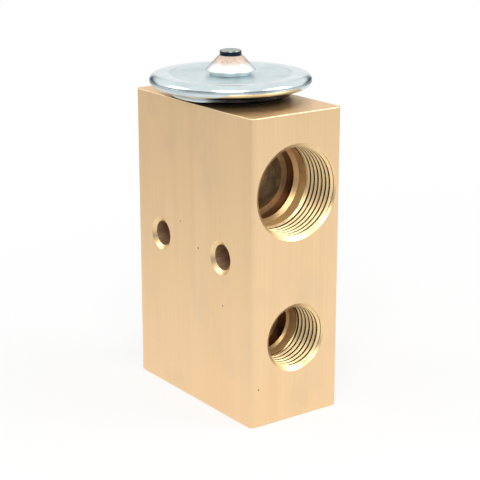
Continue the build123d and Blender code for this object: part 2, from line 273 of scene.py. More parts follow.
@dataclass(frozen=True)
class ThreadForm:
    """A 60 degree right-hand screw thread between an outer and an inner radius."""

    pitch: float
    outer_r: float
    inner_r: float
    flank_deg: float = 30.0
    broken: float = 0.07

    def rows(self) -> list[tuple[float, float]]:
        """Returns one pitch of the form as (share of the pitch, radius), with its corners broken."""
        flank = (self.outer_r - self.inner_r) * math.tan(math.radians(self.flank_deg)) / self.pitch
        flat = (1 - 2 * flank) / 3
        nick = self.broken * flank
        fall = self.broken * (self.outer_r - self.inner_r)
        return [
            (nick, self.outer_r),
            (flat - nick, self.outer_r),
            (flat + nick, self.outer_r - fall),
            (flat + flank - nick, self.inner_r + fall),
            (flat + flank + nick, self.inner_r),
            (1 - flank - nick, self.inner_r),
            (1 - flank + nick, self.inner_r + fall),
            (1 - nick, self.outer_r - fall),
        ]

    def solid(
        self,
        lathe: Lathe,
        start: float,
        end: float,
        start_r: float,
        end_r: float,
        slots: Sequence[int] = (0,) * 8,
    ) -> BMesh:
        """Builds a closed threaded bar, tapered at 45 degrees to a smaller radius at each end.

        Args:
            lathe: The axis and the number of steps round it.
            start: Where the bar starts along the axis.
            end: Where it ends.
            start_r: Radius of its first end.
            end_r: Radius of its last end.
            slots: The material slot of each part of the form, from its outer flat on.

        Returns:
            The watertight working mesh.
        """
        form = self.rows()
        turns = math.ceil((end - start) / self.pitch) + 2
        rows = [(k + share, radius) for k in range(turns) for share, radius in form]
        mesh = bmesh.new()
        grid = []
        for i in range(lathe.steps):
            line = []
            for share, radius in rows:
                at = start + self.pitch * (share - 1 + i / lathe.steps)
                if at <= start:
                    at, radius = start, start_r
                elif at >= end:
                    at, radius = end, end_r
                else:
                    radius = min(radius, start_r + at - start, end_r + end - at)
                line.append(mesh.verts.new(lathe.place(radius, at, 2 * math.pi * i / lathe.steps)))
            grid.append(line)
        for i, line in enumerate(grid):
            last = i + 1 == lathe.steps
            after = grid[0] if last else grid[i + 1]
            shift = len(form) if last else 0
            for j in range(len(rows) - 1 - shift):
                face = mesh.faces.new((line[j], after[j + shift], after[j + shift + 1], line[j + 1]))
                face.material_index = slots[j % len(form)]
        loose = [v for v in mesh.verts if not v.link_faces]
        bmesh.ops.delete(mesh, geom=loose, context="VERTS")
        bmesh.ops.remove_doubles(mesh, verts=mesh.verts[:], dist=WELD)
        open_edges = [e for e in mesh.edges if e.is_boundary]
        bmesh.ops.edgeloop_fill(mesh, edges=open_edges)
        return mesh


def skin(mesh: BMesh, low: Sequence[BMVert], high: Sequence[BMVert]) -> list[BMFace]:
    """Joins two closed rings of as many points with faces, and returns the faces."""
    faces = []
    for i in range(len(low)):
        k = (i + 1) % len(low)
        faces.append(mesh.faces.new((low[i], low[k], high[k], high[i])))
    return faces


def coat(piece: Object, *materials: Material) -> None:
    """Gives a piece its materials, one for each of its material slots."""
    for material in materials:
        piece.data.materials.append(material)


def boolean(target: Object, other: Object, operation: str) -> None:
    """Puts another closed piece to a piece or takes it away, and removes the other.

    Args:
        target: The piece that changes; the other one's materials are added to it.
        other: The other piece.
        operation: Blender's name for the operation.
    """
    change = target.modifiers.new("change", "BOOLEAN")
    change.operation, change.solver, change.object = operation, "MANIFOLD", other
    change.material_mode = "TRANSFER"
    settle(target)
    bpy.data.objects.remove(other)


def cut(target: Object, cutters: Sequence[Object]) -> None:
    """Subtracts closed cutters from a piece one after another, and removes them.

    Args:
        target: The piece that is cut; the cutters' materials are added to it.
        cutters: The closed pieces to take away.
    """
    for cutter in cutters:
        boolean(target, cutter, "DIFFERENCE")


def settle(target: Object) -> None:
    """Applies every modifier of a piece to its mesh."""
    graph = bpy.context.evaluated_depsgraph_get()
    data = bpy.data.meshes.new_from_object(target.evaluated_get(graph), depsgraph=graph)
    target.modifiers.clear()
    target.data = data


# ---- Finishes ------------------------------------------------------------------------------


def linear(red: float, green: float, blue: float) -> tuple[float, float, float, float]:
    """Turns a display colour of 0 to 255 a channel into the linear values that shaders take."""

    def channel(value: float) -> float:
        """Returns one channel in linear light."""
        share = value / 255
        return share / 12.92 if share <= 0.04045 else ((share + 0.055) / 1.055) ** 2.4

    return channel(red), channel(green), channel(blue), 1.0


class Nodes:
    """A node tree, with a short call for each kind of node that the looks use."""

    def __init__(self, tree: NodeTree) -> None:
        """Keeps the tree that the nodes are added to."""
        self.tree = tree

    def feed(self, target: NodeSocket, value: object) -> None:
        """Links a socket, or sets it to a plain value.

        Args:
            target: The socket that takes the value.
            value: Another node's socket, a number or a tuple.
        """
        if isinstance(value, NodeSocket):
            self.tree.links.new(value, target)
        else:
            target.default_value = value

    def add(self, kind: str, inputs: dict[str | int, object] | None = None, **settings: object) -> Node:
        """Adds a node.

        Args:
            kind: The node's type.
            inputs: What its inputs take, as for feed.
            **settings: The properties that differ from the usual ones.

        Returns:
            The new node.
        """
        node = self.tree.nodes.new(kind)
        for name, value in settings.items():
            setattr(node, name, value)
        for place, value in (inputs or {}).items():
            self.feed(node.inputs[place], value)
        return node

    def mix(self, share: object, first: object, second: object) -> NodeSocket:
        """Returns a blend of two colours, with that share of the second one."""
        node = self.add("ShaderNodeMix", {"Factor": share, 6: first, 7: second}, data_type="RGBA")
        return node.outputs[2]

    def sum(self, kind: str, first: object, second: object) -> NodeSocket:
        """Returns two values put together by a math node of that kind."""
        return self.add("ShaderNodeMath", {0: first, 1: second}, operation=kind).outputs["Value"]

    def span(
        self, value: NodeSocket, start: float, end: float, low: float = 0.0, high: float = 1.0
    ) -> NodeSocket:
        """Returns a smooth step from low to high while value goes from start to end."""
        ends = {"Value": value, "From Min": start, "From Max": end, "To Min": low, "To Max": high}
        return self.add("ShaderNodeMapRange", ends, interpolation_type="SMOOTHSTEP").outputs["Result"]

    def distance(self, place: NodeSocket, centre: Point) -> NodeSocket:
        """Returns how far a place is from a centre."""
        ends = {0: place, 1: centre}
        return self.add("ShaderNodeVectorMath", ends, operation="DISTANCE").outputs["Value"]

    def level(self, place: NodeSocket) -> NodeSocket:
        """Returns a place's height."""
        return self.add("ShaderNodeSeparateXYZ", {"Vector": place}).outputs["Z"]

    def seen(self, path: Node) -> NodeSocket:
        """Returns 1 for the rays that look at things, and 0 for those that light them.

        Args:
            path: The tree's light path node.

        Returns:
            A socket that is 1 for rays from the camera, from polished faces and through glass.
        """
        direct = self.sum("MAXIMUM", path.outputs["Is Camera Ray"], path.outputs["Is Glossy Ray"])
        return self.sum("MAXIMUM", direct, path.outputs["Is Transmission Ray"])


class Sheet(Nodes):
    """One material's nodes."""

    def __init__(self, name: str) -> None:
        """Starts a material of that name with a principled shader."""
        self.material = bpy.data.materials.new(name)
        self.material.use_nodes = True
        super().__init__(self.material.node_tree)
        self.shader = self.tree.nodes["Principled BSDF"]

    def place(self, stretch: Point = (1.0, 1.0, 1.0)) -> NodeSocket:
        """Returns the piece's own coordinates in millimetres, times stretch along each axis."""
        where = self.add("ShaderNodeTexCoord").outputs["Object"]
        scale = [1 / MM * share for share in stretch]
        return self.add("ShaderNodeMapping", {"Vector": where, "Scale": scale}).outputs["Vector"]

    def noise(self, stretch: Point, detail: float = 3.0, roughness: float = 0.55) -> NodeSocket:
        """Returns noise with one feature a millimetre, times stretch along each axis."""
        inputs = {"Vector": self.place(stretch), "Scale": 1.0, "Detail": detail, "Roughness": roughness}
        return self.add("ShaderNodeTexNoise", inputs).outputs["Fac"]

    def spots(self, per_mm: float, size: float) -> NodeSocket:
        """Returns a mask of small scattered dots.

        Args:
            per_mm: How many cells there are to a millimetre; each may hold one dot.
            size: A dot's radius as a share of its cell.

        Returns:
            A socket that is 1 in a dot and 0 elsewhere.
        """
        cells = self.add("ShaderNodeTexVoronoi", {"Vector": self.place((per_mm,) * 3), "Scale": 1.0})
        return self.ramp(cells.outputs["Distance"], (size * 0.5, size), (1.0, 0.0))

    def ramp(self, share: NodeSocket, band: Band, greys: Band = (0.0, 1.0)) -> NodeSocket:
        """Returns a straight change from one grey to another.

        Args:
            share: The socket that steers it.
            band: The values of share at which the change starts and ends.
            greys: The grey before it and the grey after it.

        Returns:
            The grey's socket.
        """
        node = self.add("ShaderNodeValToRGB", {"Fac": share})
        for element, position, grey in zip(node.color_ramp.elements, band, greys):
            element.position = position
            element.color = (grey, grey, grey, 1.0)
        return node.outputs["Color"]

    def tint(
        self,
        first: Colour | NodeSocket,
        second: Colour,
        share: NodeSocket,
        band: Band,
        most: float = 1.0,
    ) -> NodeSocket:
        """Returns a colour that goes over to a second one.

        Args:
            first: The display colour or the socket that it starts from.
            second: The display colour that it goes to.
            share: The socket that steers it.
            band: The values of share at which the change starts and ends.
            most: How much of the second colour there is in the end.

        Returns:
            The blended colour.
        """
        base = first if isinstance(first, NodeSocket) else linear(*first)
        return self.mix(self.ramp(share, band, (0.0, most)), base, linear(*second))

    def between(self, share: NodeSocket, low: float, high: float) -> NodeSocket:
        """Returns share, from 0 to 1, spread from low to high."""
        ends = {"Value": share, "To Min": low, "To Max": high}
        return self.add("ShaderNodeMapRange", ends).outputs["Result"]

    def height(self, start: float, end: float) -> NodeSocket:
        """Returns a share that grows from 0 to 1 between two heights, in millimetres."""
        return self.span(self.level(self.place()), start, end)

    def reach(self, centre: Point, start: float, end: float) -> NodeSocket:
        """Returns a share that grows from 0 to 1 between two distances from an upright axis.

        Args:
            centre: Where the axis meets the ground, in millimetres.
            start: The distance at which the share is 0, in millimetres.
            end: The distance at which it is 1.

        Returns:
            The share's socket.
        """
        return self.span(self.distance(self.place((1.0, 1.0, 0.0)), centre), start, end)

    def relief(self, height: NodeSocket, depth: float, strength: float) -> None:
        """Gives the surface fine relief.

        Args:
            height: The relief's height, from 0 to 1.
            depth: Its depth, in millimetres.
            strength: How strongly it tilts the surface.
        """
        inputs = {"Distance": depth * MM, "Strength": strength, "Height": height}
        node = self.add("ShaderNodeBump", inputs)
        self.feed(self.shader.inputs["Normal"], node.outputs["Normal"])

    def finish(self, colour: object, roughness: object, metallic: float = 1.0) -> Material:
        """Returns the sheet's material with that colour, roughness and metallic share."""
        for name, value in (("Metallic", metallic), ("Base Color", colour), ("Roughness", roughness)):
            self.feed(self.shader.inputs[name], value)
        return self.material


class Finish(Protocol):
    """Anything that makes one material."""

    def material(self) -> Material:
        """Returns the material."""


@dataclass(frozen=True)
class DrawnBrass:
    """Bar brass as drawn: fine upright lines, faint stains and a few dark specks."""

    light: Colour = (250, 218, 174)
    dark: Colour = (242, 206, 158)
    line_stretch: Point = (4.4, 4.4, 0.03)
    broad_stretch: Point = (0.35, 0.35, 0.012)
    broad_share: float = 0.35
    stain: Colour = (226, 200, 170)
    stain_stretch: Point = (0.07, 0.07, 0.05)
    stain_band: Band = (0.52, 0.75)
    stain_share: float = 0.45
    speck: Colour = (120, 100, 84)
    specks_per_mm: float = 0.11
    speck_size: float = 0.035
    roughness: Band = (0.36, 0.5)

    def material(self) -> Material:
        """Returns the material for the bar's drawn sides."""
        sheet = Sheet("drawn_brass")
        lines = sheet.noise(self.line_stretch, 4.0, 0.65)
        broad = sheet.noise(self.broad_stretch, 2.0)
        clouds = sheet.noise(self.stain_stretch, 3.0, 0.6)
        tone = sheet.mix(self.broad_share, lines, broad)
        colour = sheet.tint(self.dark, self.light, tone, TONE_BAND)
        colour = sheet.tint(colour, self.stain, clouds, self.stain_band, self.stain_share)
        colour = sheet.mix(sheet.spots(self.specks_per_mm, self.speck_size), colour, linear(*self.speck))
        sheet.relief(lines, 0.012, 0.35)
        return sheet.finish(colour, sheet.between(tone, *self.roughness))


@dataclass(frozen=True)
class SawnBrass:
    """Milled ends of the bar: flat, with faint curved cutter marks."""

    light: Colour = (249, 213, 165)
    dark: Colour = (228, 184, 132)
    rings_per_mm: float = 0.55
    ring_wander: float = 1.2
    grain_stretch: Point = (1.6, 1.6, 1.6)
    grain_share: float = 0.6
    roughness: Band = (0.34, 0.44)

    def material(self) -> Material:
        """Returns the material for the bar's two ends."""
        sheet = Sheet("milled_brass")
        rings = {"Scale": self.rings_per_mm, "Distortion": self.ring_wander, "Detail": 2.0}
        rings["Vector"] = sheet.place()
        marks = sheet.add("ShaderNodeTexWave", rings, wave_type="RINGS", rings_direction="Z")
        grain = sheet.noise(self.grain_stretch, 4.0)
        tone = sheet.mix(self.grain_share, marks.outputs["Fac"], grain)
        colour = sheet.mix(tone, linear(*self.dark), linear(*self.light))
        sheet.relief(tone, 0.01, 0.25)
        return sheet.finish(colour, sheet.between(grain, *self.roughness))


@dataclass(frozen=True)
class BoredBrass:
    """Brass cut by a boring tool: bright, with fine rings round the bore."""

    name: str
    colour: Colour = (240, 202, 142)
    shade: Colour = (214, 168, 106)
    roughness: float = 0.24
    metallic: float = 1.0
    ring_stretch: Point = (0.5, 7.0, 0.5)
    cloud_stretch: Point = (0.4, 0.4, 0.4)
    cloud_share: float = 0.4

    def material(self) -> Material:
        """Returns the material for a bore's walls."""
        sheet = Sheet(self.name)
        rings = sheet.noise(self.ring_stretch, 3.0, 0.6)
        clouds = sheet.noise(self.cloud_stretch, 2.0)
        tone = sheet.mix(self.cloud_share, rings, clouds)
        colour = sheet.tint(self.shade, self.colour, tone, TONE_BAND)
        sheet.relief(rings, 0.004, 0.3)
        soft = sheet.between(clouds, self.roughness - 0.05, self.roughness + 0.07)
        return sheet.finish(colour, soft, self.metallic)


@dataclass(frozen=True)
class PolishedSteel:
    """Pressed stainless steel, polished, with faint handling haze and painted shade on the cup under the
    rim.
    """

    colour: Colour = (218, 230, 231)
    haze: Colour = (200, 214, 217)
    haze_stretch: Point = (0.16, 0.16, 0.5)
    haze_band: Band = (0.38, 0.72)
    rub_stretch: Point = (1.2, 1.2, 1.2)
    roughness: float = 0.14
    # Painted shade: the dark navy that the cup's wall goes over to under the rim, standing in for the
    # dark reflection of the block's shaded top.
    painted_shade: Colour = (8, 16, 32)
    painted_shade_reach: float = 8.0
    painted_shade_band: Band = (0.45, 0.7)
    painted_shade_top: float = 76.45
    dish: Band = (15.4, 13.8)
    dish_centre: Point = (0.0, STEM_Y, 0.0)
    dish_roughness: float = 0.17

    def material(self) -> Material:
        """Returns the material for the power element's covers."""
        sheet = Sheet("polished_steel")
        haze = sheet.noise(self.haze_stretch, 4.0, 0.6)
        rub = sheet.noise(self.rub_stretch, 3.0, 0.6)
        colour = sheet.tint(self.colour, self.haze, haze, self.haze_band)
        # Painted shade: where little open air reaches the cup below the rim, its colour goes over to the
        # dark navy.
        around = {"Distance": self.painted_shade_reach * MM}
        open_air = sheet.add("ShaderNodeAmbientOcclusion", around, samples=8)
        painted_shade_share = sheet.ramp(open_air.outputs["AO"], self.painted_shade_band, (1.0, 0.0))
        under = sheet.height(self.painted_shade_top, self.painted_shade_top - 0.1)
        colour = sheet.mix(sheet.sum("MULTIPLY", painted_shade_share, under), colour, linear(*self.painted_shade))
        sheet.relief(rub, 0.002, 0.1)
        soft = sheet.sum("MULTIPLY", sheet.reach(self.dish_centre, *self.dish), self.dish_roughness)
        plain = sheet.between(haze, self.roughness - 0.03, self.roughness + 0.06)
        return sheet.finish(colour, sheet.sum("ADD", soft, plain))


@dataclass(frozen=True)
class TintedSteel:
    """Steel whose colour changes with height: heat tint beside a weld on the boss, and a painted dark
    reflection on the plug's side.

    Its heights are in millimetres, and ragged says how unevenly the change runs.
    """

    name: str
    low: Colour
    high: Colour
    heights: Band
    fleck: Colour
    roughness: float
    ragged: float = 0.5
    mottle_stretch: Point = (1.5, 1.5, 1.5)
    tint_band: Band = (0.1, 0.95)
    fleck_band: Band = (0.5, 0.68)
    fleck_share: float = 0.6
    metallic: float = 0.8

    def material(self) -> Material:
        """Returns the material for a piece whose colour changes with height."""
        sheet = Sheet(self.name)
        mottle = sheet.noise(self.mottle_stretch, 4.0, 0.7)
        heat_and_reflection = sheet.height(*self.heights)
        edge = sheet.sum("ADD", heat_and_reflection, sheet.between(mottle, -self.ragged, self.ragged))
        colour = sheet.tint(self.low, self.high, edge, self.tint_band)
        flecks = sheet.mix(sheet.ramp(mottle, self.fleck_band, (0.0, self.fleck_share)), BLACK, heat_and_reflection)
        colour = sheet.mix(flecks, colour, linear(*self.fleck))
        sheet.relief(mottle, 0.001, 0.06)
        soft = sheet.between(mottle, self.roughness - 0.05, self.roughness + 0.12)
        return sheet.finish(colour, soft, self.metallic)


@dataclass(frozen=True)
class WorkedMetal:
    """Turned, ground or wound metal of the working parts, with fine marks along one direction."""

    name: str
    colour: Colour
    shade: Colour
    roughness: float = 0.28
    mark_stretch: Point = (0.6, 0.6, 6.0)

    def material(self) -> Material:
        """Returns the material."""
        sheet = Sheet(self.name)
        marks = sheet.noise(self.mark_stretch, 3.0, 0.6)
        colour = sheet.tint(self.shade, self.colour, marks, TONE_BAND)
        sheet.relief(marks, 0.006, 0.35)
        return sheet.finish(colour, sheet.between(marks, self.roughness - 0.06, self.roughness + 0.08))


@dataclass(frozen=True)
class BlackRubber:
    """Moulded nitrile rubber, slightly dusty."""

    colour: Colour = (34, 35, 38)
    dust: Colour = (62, 62, 64)
    grain_stretch: Point = (4.0, 4.0, 4.0)
    dust_band: Band = (0.45, 0.8)
    dust_share: float = 0.5
    roughness: Band = (0.5, 0.7)

    def material(self) -> Material:
        """Returns the material for seals."""
        sheet = Sheet("black_rubber")
        grain = sheet.noise(self.grain_stretch, 4.0)
        colour = sheet.tint(self.colour, self.dust, grain, self.dust_band, self.dust_share)
        sheet.relief(grain, 0.01, 0.3)
        return sheet.finish(colour, sheet.between(grain, *self.roughness), 0.0)


def made(finish: Finish) -> Material:
    """Returns a dataclass field whose material is made together with the dataclass."""
    return field(default_factory=finish.material)


@dataclass
class Finishes:
    """Every material of the valve, made once."""

    drawn: Material = made(DrawnBrass())
    milled: Material = made(SawnBrass())
    # Painted highlight: the bar's edge breaks are coloured lighter than its sides.
    edge_highlight: Material = made(
        WorkedMetal("brass_edge_painted_highlight", (252, 230, 184), (242, 212, 162), 0.32, (1.0, 1.0, 1.0))
    )
    port_bore: Material = made(
        BoredBrass("bored_brass_bright", (248, 222, 172), (238, 204, 150), 0.34)
    )
    port_crest: Material = made(
        BoredBrass("cut_brass_crest", (255, 228, 176), (240, 206, 150), 0.42, 0.8)
    )
    # Painted shade: a dark copy of the cut brass for the thread's flats; the flanks keep the bright one.
    port_groove_shade: Material = made(BoredBrass("cut_brass_groove_painted_shade", (132, 98, 68), (90, 66, 48), 0.36))
    port_pilot: Material = made(
        BoredBrass("bored_brass_pilot", (255, 218, 156), (232, 184, 120), 0.5, 0.35)
    )
    port_ring: Material = made(
        BoredBrass("bored_brass_ring", (248, 214, 158), (228, 186, 124), 0.4, 0.8)
    )
    # Painted shade: the seal wall, deep in the port, is coloured dark brown and navy.
    port_seal_shade: Material = made(BoredBrass("bored_brass_seal_painted_shade", (132, 94, 68), (46, 44, 56), 0.3))
    # Painted shade: the drilled passage's dark tone stands in for the shade deep in the port; its
    # lighter streaks are the brass's own.
    passage: Material = made(
        BoredBrass("drilled_brass", (240, 204, 146), (104, 84, 60), 0.42, 0.7, (6.0, 6.0, 0.1))
    )
    # Painted shade: the bolt holes' walls are coloured darker than the brass, for the shade inside them.
    cross_bore_shade: Material = made(
        BoredBrass("drilled_brass_cross_painted_shade", (196, 160, 124), (132, 104, 82), 0.42, 0.5, (0.4, 3.0, 3.0))
    )
    stem_bore: Material = made(BoredBrass("bored_brass_upright", ring_stretch=(0.5, 0.5, 7.0)))
    cover: Material = made(PolishedSteel())
    neck: Material = made(WorkedMetal("turned_steel", (176, 182, 188), (146, 152, 160)))
    boss: Material = made(
        TintedSteel(
            "tinted_boss_steel", (238, 241, 242), (216, 192, 172), (80.9, 83.0), (156, 144, 138), 0.3
        )
    )
    # Painted reflection: the plug's side is coloured dark navy for the dark surroundings that it
    # mirrors; its mottled top is the steel's own colour.
    plug: Material = made(
        TintedSteel(
            "plug_steel_painted_reflection", (22, 38, 56), (134, 148, 142), (84.5, 84.9), (190, 150, 140), 0.22, 0.1
        )
    )
    ground: Material = made(WorkedMetal("ground_steel", (206, 210, 214), (186, 190, 196), 0.16))
    spring_steel: Material = made(
        WorkedMetal("spring_steel", (158, 162, 168), (120, 124, 130), 0.24, (1.2, 1.2, 1.2))
    )
    turned_brass: Material = made(WorkedMetal("turned_brass", (232, 198, 140), (206, 166, 108)))
    aluminium: Material = made(WorkedMetal("turned_aluminium", (204, 206, 208), (180, 182, 186), 0.34))
    rubber: Material = made(BlackRubber())


def dress(piece: Object, material: Material, slot: str, body: Body, *nodes: str) -> None:
    """Gives a finished piece its material, its body and the CAD nodes that it stands for.

    Args:
        piece: The piece, in place.
        material: Its material, where it has none yet.
        slot: Not used.
        body: The body that it rides on.
        *nodes: The CAD nodes that it replaces.
    """
    if not piece.data.materials:
        piece.data.materials.append(material)
    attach(piece, body.value)
    if nodes:
        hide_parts(*nodes)


def turn_piece(
    node: str,
    lathe: Lathe,
    outline: Sequence[Corner],
    ease: float,
    material: Material,
    slot: str,
    body: Body,
) -> None:
    """Turns one piece in place of its CAD node.

    Args:
        node: The CAD node that it stands for; the piece is named after it.
        lathe: The piece's axis and the number of steps round it.
        outline: Its outline.
        ease: Rounding of its sharp corners, in millimetres.
        material: Its material.
        slot: Passed on to dress, which does not use it.
        body: The body that it rides on.
    """
    piece = lathe.piece(f"{node}_dressed", outline, ease)
    dress(piece, material, slot, body, node)
    log.info("%s: %d faces", node, len(piece.data.polygons))


def dress_node(name: str, material: Material) -> None:
    """Gives a CAD node that keeps its shape a better material.

    Args:
        name: The node's name.
        material: The material for all its faces.
    """
    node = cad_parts[name]
    if not node.material_slots:
        node.data.materials.append(material)
    for place in node.material_slots:
        place.material = material


# ---- The block -----------------------------------------------------------------------------


PROUD = 1.0  # mm; how far a cutter stands out of the face that it starts from
THREAD_DEPTH = 0.5413  # depth of an internal 60 degree thread, as a share of its pitch


@dataclass(frozen=True)
class Port:
    """One threaded, stepped port in a level face of the block."""

    name: str
    face_y: float
    height: float
    thread_r: float
    thread_depth: float
    pilot_depth: float
    seal_r: float
    seal_depth: float
    end_r: float
    end_depth: float
    pitch: float = 25.4 / 18
    mouth: float = 0.38
    mouth_deg: float = 102.0
    pilot_step: float = 0.15
    crest_ease: float = 0.12
    run_out: float = 0.7
    run_out_step: float = 0.4

    def lathe(self, steps: int) -> Lathe:
        """Returns the port's axis, from its face inwards."""
        inwards = Way.BACK if self.face_y < 0 else Way.FORWARD
        return Lathe((0.0, self.face_y, self.height), inwards, steps)

    def thread(self) -> ThreadForm:
        """Returns the port's thread form."""
        return ThreadForm(self.pitch, self.thread_r, self.thread_r - THREAD_DEPTH * self.pitch)

    def cutters(self, finishes: Finishes) -> list[Object]:
        """Builds the closed pieces that cut the port.

        Args:
            finishes: Where the walls' finishes are taken from.

        Returns:
            The stepped bore and its thread.
        """
        crest_r = self.thread().inner_r
        pilot_r = crest_r - self.pilot_step
        mouth_r = self.thread_r + self.mouth
        bore_r = crest_r + self.crest_ease
        slope = math.tan(math.radians(self.mouth_deg / 2))
        steps = [
            (0.0, -PROUD),
            (mouth_r + slope * PROUD, -PROUD),
            (bore_r, (mouth_r - bore_r) / slope),
            (bore_r, self.thread_depth),
            (pilot_r, self.thread_depth + bore_r - pilot_r),
            (pilot_r, self.pilot_depth),
            (self.seal_r, self.pilot_depth + pilot_r - self.seal_r),
            (self.seal_r, self.seal_depth),
            (self.end_r, self.seal_depth),
            (self.end_r, self.end_depth),
            (0.0, self.end_depth),
        ]
        # The thread's flats, the seal wall and the passage take dark finishes: painted shade deep in the
        # port.
        mouth, crest, pilot, ring, seal, passage = range(6)
        walls = (mouth, mouth, crest, ring, pilot, ring, seal, ring, passage, passage, passage)
        bore = as_object(f"{self.name}_bore", self.lathe(160).turn(steps, walls))
        coat(bore, finishes.port_bore, finishes.port_groove_shade, finishes.port_pilot, finishes.port_ring,
             finishes.port_seal_shade, finishes.passage)
        root, flank = range(2)
        form = (root, root, flank, flank, root, root, root, root)
        start, end = -2.0 * self.pitch, self.thread_depth + self.run_out
        end_r = pilot_r - self.run_out_step
        bar = self.thread().solid(self.lathe(144), start, end, crest_r, end_r, form)
        groove = as_object(f"{self.name}_thread", bar)
        coat(groove, finishes.port_groove_shade, finishes.port_crest)
        return [bore, groove]


@dataclass(frozen=True)
class CrossHole:
    """A bolt hole through the block, countersunk at both faces."""

    name: str
    y: float
    z: float
    hole_r: float = 3.1
    sink_r: float = 4.13
    sink_deg: float = 110.0
    half_width: float = 13.0

    def cutter(self, finishes: Finishes) -> Object:
        """Builds the closed piece that cuts the hole, with the finishes of its two kinds of wall."""
        slope = math.tan(math.radians(self.sink_deg / 2))
        sink = (self.sink_r - self.hole_r) / slope
        wide = self.sink_r + slope * PROUD
        outside = self.half_width + PROUD
        outline = [
            (0.0, -outside),
            (wide, -outside),
            (self.hole_r, -self.half_width + sink),
            (self.hole_r, self.half_width - sink),
            (wide, outside),
            (0.0, outside),
        ]
        sunk, bored = range(2)
        walls = (sunk, sunk, bored, sunk, sunk, sunk)
        lathe = Lathe((0.0, self.y, self.z), Way.ACROSS, 96)
        cutter = as_object(self.name, lathe.turn(outline, walls))
        coat(cutter, finishes.port_bore, finishes.cross_bore_shade)
        return cutter


@dataclass(frozen=True)
class StemBores:
    """The bores on the stem line, named from the top of the block down."""

    top: float
    middle: float
    neck_r: float = 10.05
    neck_lead_in: float = 0.15
    neck_floor: float = 66.0
    sleeve_r: float = 6.5
    seal_r: float = 3.2
    seal_floor: float = 42.8
    guide_r: float = 1.25
    guide_low: float = 33.2
    outlet_r: float = 3.0
    outlet_low: float = 27.0
    orifice_r: float = 1.9
    seat: Band = (24.6, 23.6)
    chamber_r: float = 5.4
    chamber_low: float = 10.6
    screw_r: float = 6.0
    screw_low: float = 5.25
    head_r: float = 6.5
    head_lead_in: float = 0.6

    def upper(self) -> list[Corner]:
        """Returns the outline of what is bored from the top."""
        outside, lip = self.top + PROUD, self.top - self.neck_lead_in
        outline = stairs(0.0, outside, self.neck_r + outside - lip) + [(self.neck_r, lip)]
        return outline + stairs(self.neck_r, self.neck_floor, self.sleeve_r, self.middle, 0.0)

    def lower(self) -> list[Corner]:
        """Returns the outline of what is bored from the bottom, up to the suction passage."""
        seat_high, seat_low = self.seat
        outline = stairs(
            0.0, self.middle - PROUD, self.seal_r, self.seal_floor, self.guide_r, self.guide_low,
            self.outlet_r, self.outlet_low, self.orifice_r, seat_high,
        )
        outline += stairs(
            self.orifice_r + seat_high - seat_low, seat_low, self.chamber_r, self.chamber_low,
            self.screw_r, self.screw_low, self.head_r, self.head_lead_in,
        )
        return outline + [(self.head_r + self.head_lead_in + PROUD, -PROUD), (0.0, -PROUD)]


@dataclass(frozen=True)
class OutletBore:
    """The level bore that joins the outlet port to the orifice's outlet."""

    radius: float = 3.2
    start_from_face: float = 15.0
    length: float = 6.8

    def cutter(self, face_y: float, z: float) -> Object:
        """Builds the closed piece that cuts the bore, at height z."""
        lathe = Lathe((0.0, face_y - self.start_from_face, z), Way.FORWARD, 96)
        return as_object("outlet_bore", lathe.turn(stairs(0.0, 0.0, self.radius, self.length, 0.0)))


